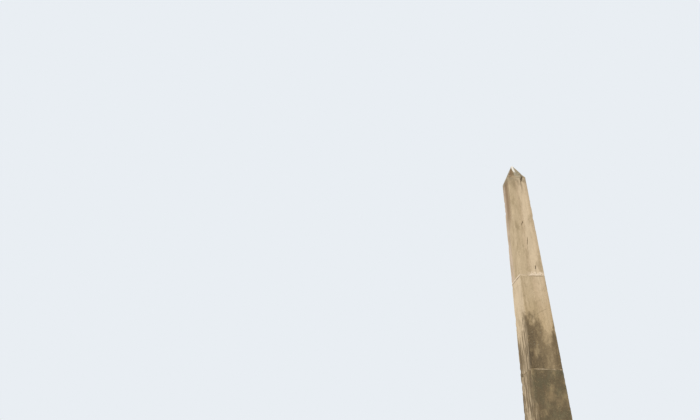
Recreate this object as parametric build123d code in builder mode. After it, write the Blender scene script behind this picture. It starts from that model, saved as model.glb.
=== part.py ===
from build123d import *

import os

# A stone obelisk: a tapering shaft of three long stones and a pyramidion, on a moulded pedestal and two steps.
# Millimetres, +Z up. The origin is on the ground, straight under the apex, and the front face looks along -Y.

# Shaft, from the top down. Widths are from face to face.
apex_width = 26
pyramidion_height = 490
shoulder_width = 470
upper_stone_height = 2820
middle_stone_height = 2280
lower_stone_height = 2190
shaft_foot_width = 830

# Mortar repair of a broken lower arris, at the right end of the upper stone's front face.
repair_length = 360
repair_height = 60
repair_depth = 24

# Shaft's base, from the shaft outwards and down.
shaft_seat_margin = 14
shaft_base_lip_height = 22
cavetto_projection = 66
cavetto_height = 118
shaft_base_plinth_height = 150

# Cornice, from the die outwards and up.
neck_projection = 12
neck_height = 34
cornice_ogee_projection = 54
cornice_ogee_height = 84
soffit_fillet_projection = 10
soffit_fillet_height = 18
drip_width = 30
drip_depth = 12
drip_lip_width = 22
corona_height = 84
crown_projection = 42
crown_height = 62
crown_fillet_height = 24
weathering_height = 54
cornice_seat_margin = 14

# Die, of two courses.
die_width = 1160
die_course_height = 730

# Base moulding and plinth, from the die outwards and down.
base_lip_projection = 14
base_lip_height = 40
base_ogee_projection = 90
base_ogee_height = 108
base_fillet_height = 20
torus_radius = 46
torus_setback = 10
plinth_height = 480
plinth_bevel = 18

# Curved mouldings bow from the straight by this share of an arc's span.
moulding_fullness = 0.15

# Steps.
tread = 300
step_rise = 190
step_seat = 130
nosing_radius = 14

# Joints and worn edges.
bed_thickness = 10
fine_bed_thickness = 4
upright_joint = 8
joint_recess = 3
worn_arris = 5

# Widths and heights that follow from the mouldings.
shaft_base_width = shaft_foot_width + 2 * (shaft_seat_margin + cavetto_projection)
shaft_base_height = shaft_base_plinth_height + cavetto_height + shaft_base_lip_height
soffit_projection = soffit_fillet_projection + drip_width + drip_lip_width
corona_width = die_width + 2 * (neck_projection + cornice_ogee_projection + soffit_projection)
bed_mould_height = neck_height + cornice_ogee_height + soffit_fillet_height
crown_mould_height = crown_height + crown_fillet_height
cornice_height = bed_mould_height + corona_height + crown_mould_height + weathering_height
base_moulding_height = 2 * torus_radius + base_fillet_height + base_ogee_height + base_lip_height
base_moulding_foot_width = die_width + 2 * (base_lip_projection + base_ogee_projection)
plinth_width = base_moulding_foot_width + 2 * (torus_radius + torus_setback)

# Each ring of step stones reaches under what stands on it.
upper_step_width = plinth_width + 2 * tread
lower_step_width = upper_step_width + 2 * tread
step_stone_depth = tread + step_seat

# Levels above the ground. Every course starts where the one below it ends.
upper_step_level = step_rise
plinth_bed_level = upper_step_level + step_rise
plinth_level = plinth_bed_level + bed_thickness
base_moulding_bed_level = plinth_level + plinth_height
base_moulding_level = base_moulding_bed_level + bed_thickness
die_bed_level = base_moulding_level + base_moulding_height
lower_die_level = die_bed_level + bed_thickness
die_middle_bed_level = lower_die_level + die_course_height
upper_die_level = die_middle_bed_level + bed_thickness
cornice_bed_level = upper_die_level + die_course_height
cornice_level = cornice_bed_level + bed_thickness
shaft_base_bed_level = cornice_level + cornice_height
shaft_base_level = shaft_base_bed_level + bed_thickness
shaft_bed_level = shaft_base_level + shaft_base_height
lower_stone_level = shaft_bed_level + bed_thickness
lower_joint_level = lower_stone_level + lower_stone_height
middle_stone_level = lower_joint_level + bed_thickness
upper_joint_level = middle_stone_level + middle_stone_height
upper_stone_level = upper_joint_level + bed_thickness
shoulder_level = upper_stone_level + upper_stone_height
pyramidion_level = shoulder_level + fine_bed_thickness
apex_level = pyramidion_level + pyramidion_height


def save(part, name):
    """Labels a finished piece and writes it under its own name."""
    part.label = name
    export_step(part, f"parts/{name}.step")


def shaft_width_at(level):
    """The shaft's width, which shrinks evenly from its foot to the shoulder."""
    risen = (level - lower_stone_level) / (shoulder_level - lower_stone_level)
    return shaft_foot_width + risen * (shoulder_width - shaft_foot_width)


def tapered_stone(low, low_width, high, high_width):
    """A square stone with battered faces and lightly worn arrises."""
    with BuildPart() as stone:
        with BuildSketch(Plane.XY.offset(low)):
            Rectangle(low_width, low_width)
        with BuildSketch(Plane.XY.offset(high)):
            Rectangle(high_width, high_width)
        loft(ruled=True)
        chamfer(stone.edges().filter_by(Plane.XY, reverse=True), worn_arris)
    return stone.part


def shaft_stone(low, height):
    """One of the long stones of the shaft, cut from the shaft's even taper."""
    high = low + height
    return tapered_stone(low, shaft_width_at(low), high, shaft_width_at(high))


def broken_arris():
    """The wedge that broke off the upper stone's lower front edge, at its right end."""
    right_face = shaft_width_at(upper_stone_level) / 2
    front_face = -right_face
    with BuildPart() as wedge:
        with BuildSketch(Plane.YZ.offset(right_face - repair_length)):
            Polygon(
                (front_face - repair_depth, upper_stone_level),
                (front_face + repair_depth, upper_stone_level),
                (front_face, upper_stone_level + repair_height),
                (front_face - repair_depth, upper_stone_level + repair_height),
                align=None,
            )
        extrude(amount=repair_length)
    return wedge.part


def bed(name, low, width, thickness=bed_thickness):
    """A flat mortar bed, raked back a little from the faces of the stones that it joins."""
    with BuildPart() as mortar:
        with BuildSketch(Plane.XY.offset(low)):
            Rectangle(width - 2 * joint_recess, width - 2 * joint_recess)
        extrude(amount=thickness)
    save(mortar.part, name)


def square_course(name, draw_outline):
    """A one-stone course whose side view is the same from the front and from the side, mitred at the corners."""
    with BuildPart() as course:
        for view, how in ((Plane.XZ, Mode.ADD), (Plane.YZ, Mode.INTERSECT)):
            with BuildSketch(view):
                with BuildLine():
                    draw_outline()
                    mirror(about=Plane.YZ)
                make_face()
            extrude(amount=lower_step_width, both=True, mode=how)
    save(course.part, name)


def moulded_arc(start, end, side):
    """An arc that bows to the left of the line from start to end, or to its right where side is -1."""
    span = Vector(*end) - Vector(*start)
    SagittaArc(start, end, side * moulding_fullness * span.length)


def ogee(start, end, side):
    """An S-shaped moulding: two arcs that bow opposite ways and meet halfway."""
    middle = ((start[0] + end[0]) / 2, (start[1] + end[1]) / 2)
    moulded_arc(start, middle, side)
    moulded_arc(middle, end, -side)


def draw_shaft_base():
    """Half outline of the shaft's base: an upright plinth under a cavetto."""
    face = shaft_base_width / 2
    shoulder = (face, shaft_base_level + shaft_base_plinth_height)
    lip = (face - cavetto_projection, shoulder[1] + cavetto_height)
    top = shaft_base_level + shaft_base_height
    Polyline((0, shaft_base_level), (face, shaft_base_level), shoulder)
    moulded_arc(shoulder, lip, 1)
    Polyline(lip, (lip[0], top), (0, top))


def draw_cornice():
    """Half outline of the cornice: neck, ogee, soffit with its drip, corona, crown and sloped top."""
    neck = (die_width / 2 + neck_projection, cornice_level + neck_height)
    ogee_top = (neck[0] + cornice_ogee_projection, neck[1] + cornice_ogee_height)
    fillet_edge = ogee_top[0] + soffit_fillet_projection
    soffit = cornice_level + bed_mould_height
    corona = (corona_width / 2, soffit + corona_height)
    crown = (corona[0] + crown_projection, corona[1] + crown_height)
    top = cornice_level + cornice_height
    seat = shaft_base_width / 2 + cornice_seat_margin
    Polyline((0, cornice_level), (neck[0], cornice_level), neck)
    ogee(neck, ogee_top, 1)
    Polyline(
        ogee_top,
        (fillet_edge, ogee_top[1]),
        (fillet_edge, soffit + drip_depth),
        (fillet_edge + drip_width, soffit + drip_depth),
        (fillet_edge + drip_width, soffit),
        (corona[0], soffit),
        corona,
    )
    ogee(corona, crown, -1)
    Polyline(crown, (crown[0], crown[1] + crown_fillet_height), (seat, top), (0, top))


def draw_base_moulding():
    """Half outline of the base moulding: torus, fillet and an ogee up to the die."""
    edge = base_moulding_foot_width / 2
    torus_top = base_moulding_level + 2 * torus_radius
    fillet_top = (edge, torus_top + base_fillet_height)
    lip = (edge - base_ogee_projection, fillet_top[1] + base_ogee_height)
    top = base_moulding_level + base_moulding_height
    Line((0, base_moulding_level), (edge, base_moulding_level))
    ThreePointArc(
        (edge, base_moulding_level),
        (edge + torus_radius, base_moulding_level + torus_radius),
        (edge, torus_top),
    )
    Line((edge, torus_top), fillet_top)
    ogee(fillet_top, lip, -1)
    Polyline(lip, (lip[0], top), (0, top))


def two_stone_course(names, across, low, height, width, bevel=0):
    """A plain course of two stones. They meet at an upright joint square to the axis that is given."""
    for name, side in zip(names, (-1, 1)):
        with BuildPart() as stone:
            with BuildSketch(Plane.XY.offset(low)):
                Rectangle(width, width)
            extrude(amount=height)
            if bevel:
                chamfer(stone.edges().group_by(Axis.Z)[-1], bevel)
            chamfer(stone.edges().filter_by(Plane.XY, reverse=True), worn_arris)
            outward = across.direction * side
            split(bisect_by=Plane(outward * upright_joint / 2, z_dir=outward), keep=Keep.TOP)
        save(stone.part, name)


def course_joint(name, across, low, height, width, bevel=0):
    """The mortar in the upright joint of a two-stone course."""
    foot = Plane((0, 0, low), x_dir=across.direction)
    with BuildPart() as mortar:
        with BuildSketch(foot):
            Rectangle(upright_joint, width - 2 * (joint_recess + bevel))
        extrude(amount=height)
    save(mortar.part, name)


def step_ring(ring, low, width):
    """Four like stones round a step, each butting against the side of the next."""
    inside = width / 2 - step_stone_depth
    with BuildPart() as stone:
        with BuildSketch(Plane.XY.offset(low)):
            with Locations((-width / 2, -width / 2)):
                length = width / 2 + inside - upright_joint
                Rectangle(length, step_stone_depth, align=(Align.MIN, Align.MIN))
        extrude(amount=step_rise)
        top_edges = stone.edges().group_by(Axis.Z)[-1]
        nosing = top_edges.group_by(Axis.Y)[0] + top_edges.group_by(Axis.X)[0]
        corner = stone.edges().filter_by(Axis.Z).group_by(Axis.Y)[0].group_by(Axis.X)[0]
        fillet(nosing + corner, nosing_radius)
    for turn, side in enumerate(("front", "right", "back", "left")):
        with BuildPart() as turned_stone:
            add(stone.part, rotation=(0, 0, 90 * turn))
        save(turned_stone.part, f"{ring}_step_{side}")

    with BuildPart() as mortar:
        for turn in range(4):
            with BuildSketch(Plane.XY.offset(low).rotated((0, 0, 90 * turn))):
                with Locations((inside, -width / 2 + nosing_radius)):
                    depth = step_stone_depth - nosing_radius
                    Rectangle(upright_joint, depth, align=(Align.MAX, Align.MIN))
        extrude(amount=step_rise - joint_recess)
    save(mortar.part, f"{ring}_step_joints")


def rubble_core():
    """The mass of rubble and mortar inside the steps, which carries the plinth."""
    with BuildPart() as core:
        for low, width in ((0, lower_step_width), (upper_step_level, upper_step_width)):
            with BuildSketch(Plane.XY.offset(low)):
                Rectangle(width - 2 * step_stone_depth, width - 2 * step_stone_depth)
            extrude(amount=step_rise)
    save(core.part, "core")


os.makedirs("parts", exist_ok=True)

# Steps and their core.
step_ring("lower", 0, lower_step_width)
step_ring("upper", upper_step_level, upper_step_width)
rubble_core()

# Pedestal.
bed("bed_under_plinth", plinth_bed_level, plinth_width)
plinth = (plinth_level, plinth_height, plinth_width, plinth_bevel)
two_stone_course(("plinth_front", "plinth_back"), Axis.Y, *plinth)
course_joint("plinth_joint", Axis.Y, *plinth)
bed("bed_under_base_moulding", base_moulding_bed_level, base_moulding_foot_width)
square_course("base_moulding", draw_base_moulding)
bed("bed_under_die", die_bed_level, die_width)
lower_die = (lower_die_level, die_course_height, die_width)
two_stone_course(("lower_die_left", "lower_die_right"), Axis.X, *lower_die)
course_joint("lower_die_joint", Axis.X, *lower_die)
bed("bed_inside_die", die_middle_bed_level, die_width)
upper_die = (upper_die_level, die_course_height, die_width)
two_stone_course(("upper_die_front", "upper_die_back"), Axis.Y, *upper_die)
course_joint("upper_die_joint", Axis.Y, *upper_die)
bed("bed_under_cornice", cornice_bed_level, die_width)
square_course("cornice", draw_cornice)
bed("bed_under_shaft_base", shaft_base_bed_level, shaft_base_width)
square_course("shaft_base", draw_shaft_base)

# Shaft.
bed("bed_under_shaft", shaft_bed_level, shaft_foot_width)
save(shaft_stone(lower_stone_level, lower_stone_height), "lower_shaft_stone")
bed("lower_shaft_joint", lower_joint_level, shaft_width_at(lower_joint_level))
save(shaft_stone(middle_stone_level, middle_stone_height), "middle_shaft_stone")
bed("upper_shaft_joint", upper_joint_level, shaft_width_at(upper_joint_level))

unbroken_stone = shaft_stone(upper_stone_level, upper_stone_height)
broken_piece = broken_arris()
with BuildPart() as upper_stone:
    add(unbroken_stone)
    add(broken_piece, mode=Mode.SUBTRACT)
save(upper_stone.part, "upper_shaft_stone")
with BuildPart() as repair:
    add(unbroken_stone)
    add(broken_piece, mode=Mode.INTERSECT)
save(repair.part, "upper_joint_repair")

# Pyramidion.
bed("pyramidion_joint", shoulder_level, shoulder_width, fine_bed_thickness)
save(tapered_stone(pyramidion_level, shoulder_width, apex_level, apex_width), "pyramidion")
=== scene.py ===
import math

import bmesh
import bpy
from bpy.props import FloatProperty, FloatVectorProperty, PointerProperty
from mathutils import Matrix, Vector, noise
from mathutils.kdtree import KDTree


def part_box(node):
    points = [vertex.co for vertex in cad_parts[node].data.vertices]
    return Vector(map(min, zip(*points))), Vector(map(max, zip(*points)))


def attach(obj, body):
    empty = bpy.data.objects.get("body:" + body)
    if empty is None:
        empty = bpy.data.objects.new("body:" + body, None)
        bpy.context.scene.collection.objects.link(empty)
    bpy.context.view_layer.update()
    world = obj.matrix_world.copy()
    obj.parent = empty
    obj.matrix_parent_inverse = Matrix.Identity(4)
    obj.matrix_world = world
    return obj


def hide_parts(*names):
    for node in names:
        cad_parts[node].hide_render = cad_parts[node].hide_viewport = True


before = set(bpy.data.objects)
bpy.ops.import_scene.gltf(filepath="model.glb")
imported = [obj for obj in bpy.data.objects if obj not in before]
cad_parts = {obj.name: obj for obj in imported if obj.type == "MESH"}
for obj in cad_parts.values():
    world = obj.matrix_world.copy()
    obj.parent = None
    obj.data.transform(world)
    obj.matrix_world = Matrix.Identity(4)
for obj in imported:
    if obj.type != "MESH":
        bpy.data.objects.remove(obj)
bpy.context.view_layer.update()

bl_info = {
    "name": "Stone obelisk",
    "version": (1, 0, 0),
    "blender": (4, 5, 0),
    "location": "3D View > Sidebar > Obelisk",
    "description": "Dresses the frame of an obelisk with worn limestone and mortar, and sets its stage",
    "category": "Object",
}

# Nodes of the frame, by how they are made.
SHAFT_STONES = ("lower_shaft_stone", "middle_shaft_stone", "upper_shaft_stone")
MOULDED_COURSES = ("base_moulding", "cornice", "shaft_base")
DIE_STONES = ("lower_die_left", "lower_die_right", "upper_die_front", "upper_die_back")
PLINTH_STONES = ("plinth_front", "plinth_back")
STEP_SIDES = ("front", "right", "back", "left")
PEDESTAL_BEDS = (
    "bed_under_plinth",
    "bed_under_base_moulding",
    "bed_under_die",
    "bed_inside_die",
    "bed_under_cornice",
    "bed_under_shaft_base",
    "bed_under_shaft",
)
SHAFT_BEDS = ("lower_shaft_joint", "upper_shaft_joint", "pyramidion_joint")
UPRIGHT_JOINTS = ("plinth_joint", "lower_die_joint", "upper_die_joint")
STEP_JOINTS = ("lower_step_joints", "upper_step_joints")

# How the mortar of a joint has aged, where it isn't plainly old.
MORTAR_AGES = {
    "pyramidion_joint": "mossy",
    "upper_shaft_joint": "sound",
    "lower_shaft_joint": "mossy",
    "bed_under_plinth": "mossy",
}

# Dark hollows in the front face of the upper stone, in metres: how far right of the middle, height above
# the ground, width, length, how much the top leans to the right for each metre of rise, and how deep and
# dark each is beside the deepest.
HOLLOWS = (
    (0.119, 10.56, 0.062, 0.22, 0.26, 1.0),
    (-0.041, 9.23, 0.040, 0.16, 0.45, 0.6),
    (0.016, 8.71, 0.026, 0.30, 0.14, 0.55),
    (0.113, 8.00, 0.034, 0.12, 0.05, 1.0),
)
HOLLOW_DEPTH = 0.013

# The rim of a hollow: the grain of its raggedness in metres, how ragged it is, and how steep its side is.
# The cells are cut finer, so many times, out to a share of the hollow's half size beyond its rim.
HOLLOW_GRAIN = 0.03
HOLLOW_RAGGED = 0.6
HOLLOW_STEEP = 1.6
HOLLOW_MARGIN = 0.6
HOLLOW_CUTS = 4

# The fine crack in the front of the middle stone, in metres: how far right of the middle, height above the
# ground, and how much it climbs for each metre to the right.
CRACK = (0.087, 6.86, 0.576)

# Clouds that things are worn by: the grain in metres, then what each brightness stands for, from 0 to 1.
WEAR_PATTERNS = {
    "hollows": (0.30, (0.35, 0), (0.75, 1)),
    "pits": (0.05, (0.60, 0), (0.78, 1)),
    "chips": (0.15, (0.46, 0), (0.51, 0.25), (0.58, 0.35), (0.63, 0.8), (0.75, 1)),
    "ragged": (0.10, (0.35, 0), (0.70, 1)),
    "trowel": (0.03, (0.3, 0), (0.8, 1)),
}

# Along an arris, how sharply the knocked stretches end, and how far they outweigh the sound ones.
STRETCH_CONTRAST = 3
STRETCH_MORE = 0.25

# How far a piece has worn, where it isn't as far as the shaft, the die and the plinth.
PYRAMIDION_WEAR = 0.5
MOULDING_WEAR = 0.35
STEP_WEAR = 1.2

# The repair of the upper joint, in metres: its cells, the round of its edges, how far its upper edge and
# its thin end have sunk, and the length of that end. Its back leans forward by that share of its depth.
REPAIR_CELL = 0.008
REPAIR_ROUND = 0.0015
REPAIR_SUNK = 0.030
REPAIR_THIN_END = 0.12
REPAIR_LEAN = 0.8

# Depth of the trowel's marks in the repair and in the joints, in metres.
REPAIR_TROWELLED = 0.0015
JOINT_TROWELLED = 0.0025

# Lime smeared beside a joint: how far it reaches, and how far it covers, in metres.
SMEAR_EDGE = 0.028
SMEAR_BODY = 0.010

# The stone's grain is about 1 mm, its pits 3 to 8 mm, its tool strokes 8 mm apart and the mortar's sand
# 1 mm. They are too fine to show from the camera, so they are drawn this coarse, in metres.
DRAWN_GRAIN = 0.006
DRAWN_PIT = 0.012
DRAWN_STROKE = 0.014
DRAWN_SAND = 0.004
DRAWN_DARK_SAND = 0.006

# Heights of the relief in the materials, in metres.
GRAIN_RELIEF = 0.0016
PIT_RELIEF = 0.003
RUBBED_RELIEF = 0.003
TOOLED_RELIEF = 0.004
TRODDEN_RELIEF = 0.006
SAND_RELIEF = 0.0015
RUBBLE_RELIEF = 0.012

# Directions around the shaft are in degrees: 0 is front, 90 right, -90 left and -180 back. They start at
# the back right arris. The left face is a share from 0 to 1.
TURN_START = -225
LEFT_FACE = ((-140, 0), (-128, 1), (-52, 1), (-44, 0))

# Width of a stone in the rubble, in metres.
RUBBLE_STONE = 0.14

# The floor, in metres: its radius, and how far it lies below the undersides of the steps.
FLOOR_RADIUS = 120
FLOOR_GAP = 0.001

# The camera: the width of its sensor in millimetres, and how far it sees in metres.
SENSOR_WIDTH = 36
SIGHT = 500

# The large lamp: how it is turned, and how wide it looks from the obelisk.
KEY_TURNED = (math.radians(48), 0, math.radians(-50))
KEY_WIDTH = math.radians(24)

# Faces that turn by more than the first angle meet in an arris. Those that turn by less than the second are
# shaded as one.
ARRIS_TURN = math.radians(30)
SMOOTH_TURN = math.radians(38)

# An edge runs along an axis where at least this share of its length does.
STRAIGHT = 0.999

# Places closer than this, in metres, are the same place.
TINY = 1e-4


def linear(code):
    """A colour written as sRGB hex, as the linear values that shaders use."""
    shares = [int(code[i:i + 2], 16) / 255 for i in (1, 3, 5)]
    return tuple(s / 12.92 if s <= 0.04045 else ((s + 0.055) / 1.055) ** 2.4 for s in shares)


def length(name, description, default):
    """A size that the user can set, in metres."""
    return FloatProperty(
        name=name, description=description, default=default, min=0, unit="LENGTH", precision=4
    )


def angle(name, description, degrees):
    """An angle that the user can set."""
    return FloatProperty(
        name=name, description=description, default=math.radians(degrees), subtype="ANGLE"
    )


def colour(name, description, code):
    """A colour that the user can set."""
    return FloatVectorProperty(
        name=name, description=description, default=linear(code), min=0, max=1, subtype="COLOR", size=3
    )


class ObeliskWear(bpy.types.PropertyGroup):
    """How finely the stones are modelled and how far they have worn."""

    shaft_cell: length("Shaft cell", "Spacing of the points on the shaft's faces", 0.013)
    course_cell: length("Course cell", "Spacing of the points on the pedestal and steps", 0.018)
    arris_round: length("Arris", "Radius of a stone's sound arris", 0.004)
    arris_reach: length("Arris reach", "How far from an arris the chips go", 0.045)
    hollow_depth: length("Hollows", "Depth of the broad hollows in a face", 0.002)
    pit_depth: length("Pits", "Depth of the small pits in a face", 0.004)
    chip_depth: length("Chips", "Depth of the largest chips along an arris", 0.022)
    chip_spacing: length("Chip spacing", "Distance between the knocked stretches of an arris", 0.55)
    pointing: length("Pointing", "How far the mortar reaches behind the arrises beside a joint", 0.008)
    plinth_bevel: length("Plinth bevel", "Slope along the plinth's top edge", 0.018)
    nosing: length("Nosing", "Radius of a step's worn front edge", 0.014)


class ObeliskColours(bpy.types.PropertyGroup):
    """Tones of the weathered stone and of what lies on it."""

    buff: colour("Buff", "Limestone that the rain keeps clean", "#cfb796")
    sand: colour("Sand", "Clean stone that the rain has washed lighter", "#dec7a6")
    pale: colour("Pale", "The lightest clean stone", "#dec8a8")
    rose: colour("Rose", "Clean stone with a little iron in it", "#d0baa2")
    honey: colour("Honey", "Clean stone low on the shaft", "#bfa57b")
    olive: colour("Olive", "Stone under a thin film of algae", "#cab492")
    drab: colour("Drab", "Stone under an older, darker film", "#998563")
    # Drab, umber, moss and crust also lay painted shade and shadow on the middle and lower stones of the
    # shaft.
    russet: colour("Russet", "Rust-brown film where rain seldom reaches", "#876b51")
    umber: colour("Umber", "Dirt that rain has left in streaks", "#6f5e46")
    moss: colour("Moss", "Thick algae in the damp lower courses", "#68614a")
    crust: colour("Crust", "Black crust in sheltered corners and hollows", "#463d30")
    ash: colour("Ash", "Stone greyed by soot and lichen, near the top", "#a69a80")
    lichen: colour("Lichen", "Grey lichen", "#b3ab93")
    ochre: colour("Ochre", "Yellow lichen", "#a88d54")
    lime: colour("Lime", "Old lime mortar and its smears", "#dfc9a8")
    chalk: colour("Chalk", "Fresh lime mortar", "#f5e0c5")
    guano: colour("Guano", "What birds have left on the apex", "#f4ede0")


class ObeliskStage(bpy.types.PropertyGroup):
    """Backdrop, floor, light and lens."""

    backdrop: colour("Backdrop", "What the camera sees behind the obelisk", "#e9eef3")
    floor: colour("Floor", "The plain floor", "#e3e3e0")
    sky_strength: FloatProperty(
        name="Soft light", description="Even light from all round", default=0.66, min=0
    )
    key_strength: FloatProperty(
        name="Key light", description="Strength of the one large lamp", default=1.45, min=0
    )
    lens: FloatProperty(name="Lens", description="Focal length", default=32.8, min=1, unit="CAMERA")
    eye_height: length("Eye", "Height of the camera above the ground", 1.6)
    distance: length("Distance", "From the camera to the obelisk's axis, along the ground", 15.05)
    standpoint: angle("Standpoint", "How far left of the front the camera stands", 22.26)
    heading: angle("Heading", "How far right of straight ahead the camera looks", 5.43)
    pitch: angle("Pitch", "Upward tilt", 29.44)
    roll: angle("Roll", "Sideways tilt", 0.25)


# Modelling by hand, one tool at a time.


def select(kind, wanted):
    """In edit mode, selects the verts, edges or faces that are wanted, and nothing else."""
    mesh = bpy.context.object.data
    bpy.ops.mesh.select_mode(type={"verts": "VERT", "edges": "EDGE", "faces": "FACE"}[kind])
    bpy.ops.mesh.select_all(action="DESELECT")
    open_mesh = bmesh.from_edit_mesh(mesh)
    for part in getattr(open_mesh, kind):
        if wanted(part):
            part.select_set(True)
    open_mesh.select_flush_mode()
    bmesh.update_edit_mesh(mesh)


def direction(edge):
    """0 or 1 for an edge that runs along X or Y, and 2 for one that rises."""
    run = edge.verts[1].co - edge.verts[0].co
    flat = [axis for axis in (0, 1) if abs(run[axis]) > STRAIGHT * run.length]
    return flat[0] if flat else 2


def cut_into_cells(axis, cell, shortest=0):
    """Cuts the edges that run one way, and the faces between them, into cells.

    Edges no longer than the shortest stay whole.
    """
    open_mesh = bmesh.from_edit_mesh(bpy.context.object.data)
    longest = max(edge.calc_length() for edge in open_mesh.edges if direction(edge) == axis)
    cuts = round(longest / cell) - 1
    if cuts > 0:
        select("edges", lambda edge: direction(edge) == axis and edge.calc_length() > shortest)
        bpy.ops.mesh.subdivide(number_cuts=cuts, quadcorner="STRAIGHT_CUT")


def is_level(part, height):
    """Tells whether a face or an edge lies flat at a height."""
    return all(abs(vert.co.z - height) < TINY for vert in part.verts)


def cut_between(seats, cell, axes=(2, 0, 1), shortest=0):
    """Cuts the faces of a block into cells, but for its seats, the flat faces at those heights.

    The seats are taken away and closed again with one face each.
    """
    for height in seats:
        select("faces", lambda face: is_level(face, height))
        bpy.ops.mesh.delete(type="FACE")
    for axis in axes:
        cut_into_cells(axis, cell, shortest)
    for height in seats:
        select("edges", lambda edge: edge.is_boundary and is_level(edge, height))
        bpy.ops.mesh.edge_face_add()


def add_block(name, low, high, top=1.0):
    """Adds a block from its lowest to its highest corner. Its top is that share as wide as its foot."""
    bpy.ops.object.select_all(action="DESELECT")
    bpy.ops.mesh.primitive_cube_add(size=1, location=(low + high) / 2, scale=high - low)
    bpy.ops.object.transform_apply(location=True, rotation=True, scale=True)
    block = bpy.context.object
    block.name = name
    block.data.name = name
    bpy.ops.object.mode_set(mode="EDIT")
    if top != 1.0:
        select("verts", lambda vert: abs(vert.co.z - high.z) < TINY)
        bpy.ops.transform.resize(value=(top, top, 1), center_override=(0, 0, high.z))
    return block


def round_arrises(radius, foot=None):
    """Rounds every arris a little, but for those at a sheltered foot.

    Returns a finder for the nearest point on an arris, and which way each of its points faces.
    """
    open_mesh = bmesh.from_edit_mesh(bpy.context.object.data)
    open_mesh.normal_update()
    sharp = {edge for edge in open_mesh.edges if edge.is_convex and edge.calc_face_angle(0) > ARRIS_TURN}
    if foot is not None:
        sharp = {edge for edge in sharp if any(abs(vert.co.z - foot) > TINY for vert in edge.verts)}
    corners = [vert for vert in open_mesh.verts if not sharp.isdisjoint(vert.link_edges)]
    facing = [(vert.co.copy(), vert.normal.copy()) for vert in corners]
    finder = KDTree(len(facing))
    for number, (point, _) in enumerate(facing):
        finder.insert(point, number)
    finder.balance()
    select("edges", lambda edge: edge in sharp)
    bpy.ops.mesh.bevel(offset=radius, segments=2, affect="EDGES")
    return finder, [normal for _, normal in facing]


def wear_pattern(name):
    """One of the clouds that things are worn by, made once."""
    grain, *stops = WEAR_PATTERNS[name]
    pattern = bpy.data.textures.get(name)
    if pattern is None:
        pattern = bpy.data.textures.new(name, "CLOUDS")
        pattern.noise_scale = grain
        pattern.noise_depth = 4
        pattern.use_color_ramp = True
        elements = pattern.color_ramp.elements
        elements.remove(elements[1])
        for number, (position, value) in enumerate(stops):
            element = elements.new(position) if number else elements[0]
            element.position = position
            element.color = (value, value, value, 1)
    return pattern


def sink(piece, depth, pattern=None, **settings):
    """Sinks the surface by a depth, or by up to that depth where a wear pattern is bright."""
    modifier = piece.modifiers.new("sink", "DISPLACE")
    modifier.texture = wear_pattern(pattern) if pattern else None
    modifier.texture_coords = "LOCAL"
    modifier.mid_level = 0
    modifier.strength = -depth
    for name, value in settings.items():
        setattr(modifier, name, value)
    bpy.ops.object.modifier_apply(modifier=modifier.name)


def mark(piece, name, shares):
    """Keeps a share from 0 to 1 for each point of a piece, for its material to read."""
    piece.data.attributes.new(name, "FLOAT", "POINT").data.foreach_set("value", shares)


def weigh(piece, name, shares):
    """Keeps a share from 0 to 1 for each point of a piece, for sink to follow."""
    group = piece.vertex_groups.new(name=name)
    for vert, share in zip(piece.data.vertices, shares):
        group.add([vert.index], share, "REPLACE")


def trowel(piece, depth):
    """Leaves the marks of a trowel in mortar, up to that deep."""
    sink(piece, depth, "trowel")
    bpy.ops.object.shade_smooth_by_angle(angle=SMOOTH_TURN)


def wear_down(piece, arrises, amount=1.0):
    """Ends edit mode and wears a stone down: hollows and pits in its faces, chips across its arrises."""
    wear = bpy.context.scene.obelisk_wear
    finder, facing = arrises
    bpy.ops.object.mode_set(mode="OBJECT")
    low, high = Vector(piece.bound_box[0]), Vector(piece.bound_box[6])
    rubbed = []
    knocked = []
    slant = []
    for vert in piece.data.vertices:
        _, number, distance = finder.find(vert.co)
        nearness = max(0, 1 - distance / (wear.arris_reach * amount))
        rubbed.append(nearness)
        stretch = STRETCH_CONTRAST * noise.noise(vert.co / wear.chip_spacing) + STRETCH_MORE
        knocked.append(nearness * min(1, max(0, stretch)))
        slant.append(facing[number] if nearness else (0, 0, 0))
    weigh(piece, "knocked", knocked)
    mark(piece, "rubbed", rubbed)
    sink(piece, wear.hollow_depth * amount, "hollows")
    sink(piece, wear.pit_depth * amount, "pits")
    # The points sink along their custom normals, which slant across the nearest arris.
    piece.data.normals_split_custom_set_from_vertices(slant)
    sink(piece, wear.chip_depth * amount, "chips", vertex_group="knocked", direction="CUSTOM_NORMAL")
    bpy.ops.mesh.customdata_custom_splitnormals_clear()
    for vert in piece.data.vertices:
        vert.co = [min(max(value, least), most) for value, least, most in zip(vert.co, low, high)]
    bpy.ops.object.shade_smooth_by_angle(angle=SMOOTH_TURN)


def set_in_place(piece, node, material):
    """Gives a finished piece its material, and lets it stand for its node of the frame."""
    piece.data.materials.append(material)
    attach(piece, "root")
    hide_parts(node)


def half_width(node, level):
    """Half the width of a node of the frame at one of its own levels."""
    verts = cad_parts[node].data.vertices
    return max(abs(vert.co.x) for vert in verts if abs(vert.co.z - level) < TINY)


def shaft_block(node):
    """A tapering stone of the shaft, cut into cells and open in edit mode, and what round_arrises gives."""
    low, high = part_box(node)
    wear = bpy.context.scene.obelisk_wear
    block = add_block(f"worn_{node}", low, high, half_width(node, high.z) / half_width(node, low.z))
    seats = (low.z,) if node == "pyramidion" else (low.z, high.z)
    cut_between(seats, wear.shaft_cell)
    return block, round_arrises(wear.arris_round)


def course_block(node, edges=None, bevel=0, segments=1, tread=False):
    """A plain stone of the pedestal or the steps, as shaft_block gives one.

    Some of its edges can be bevelled first. The top of a tread is cut into cells too.
    """
    low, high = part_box(node)
    wear = bpy.context.scene.obelisk_wear
    block = add_block(f"worn_{node}", low, high)
    if edges:
        select("edges", edges)
        bpy.ops.mesh.bevel(offset=bevel, segments=segments, affect="EDGES")
    cut_between((low.z,) if tread else (low.z, high.z), wear.course_cell)
    return block, round_arrises(wear.arris_round, foot=low.z if edges else None)


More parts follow.
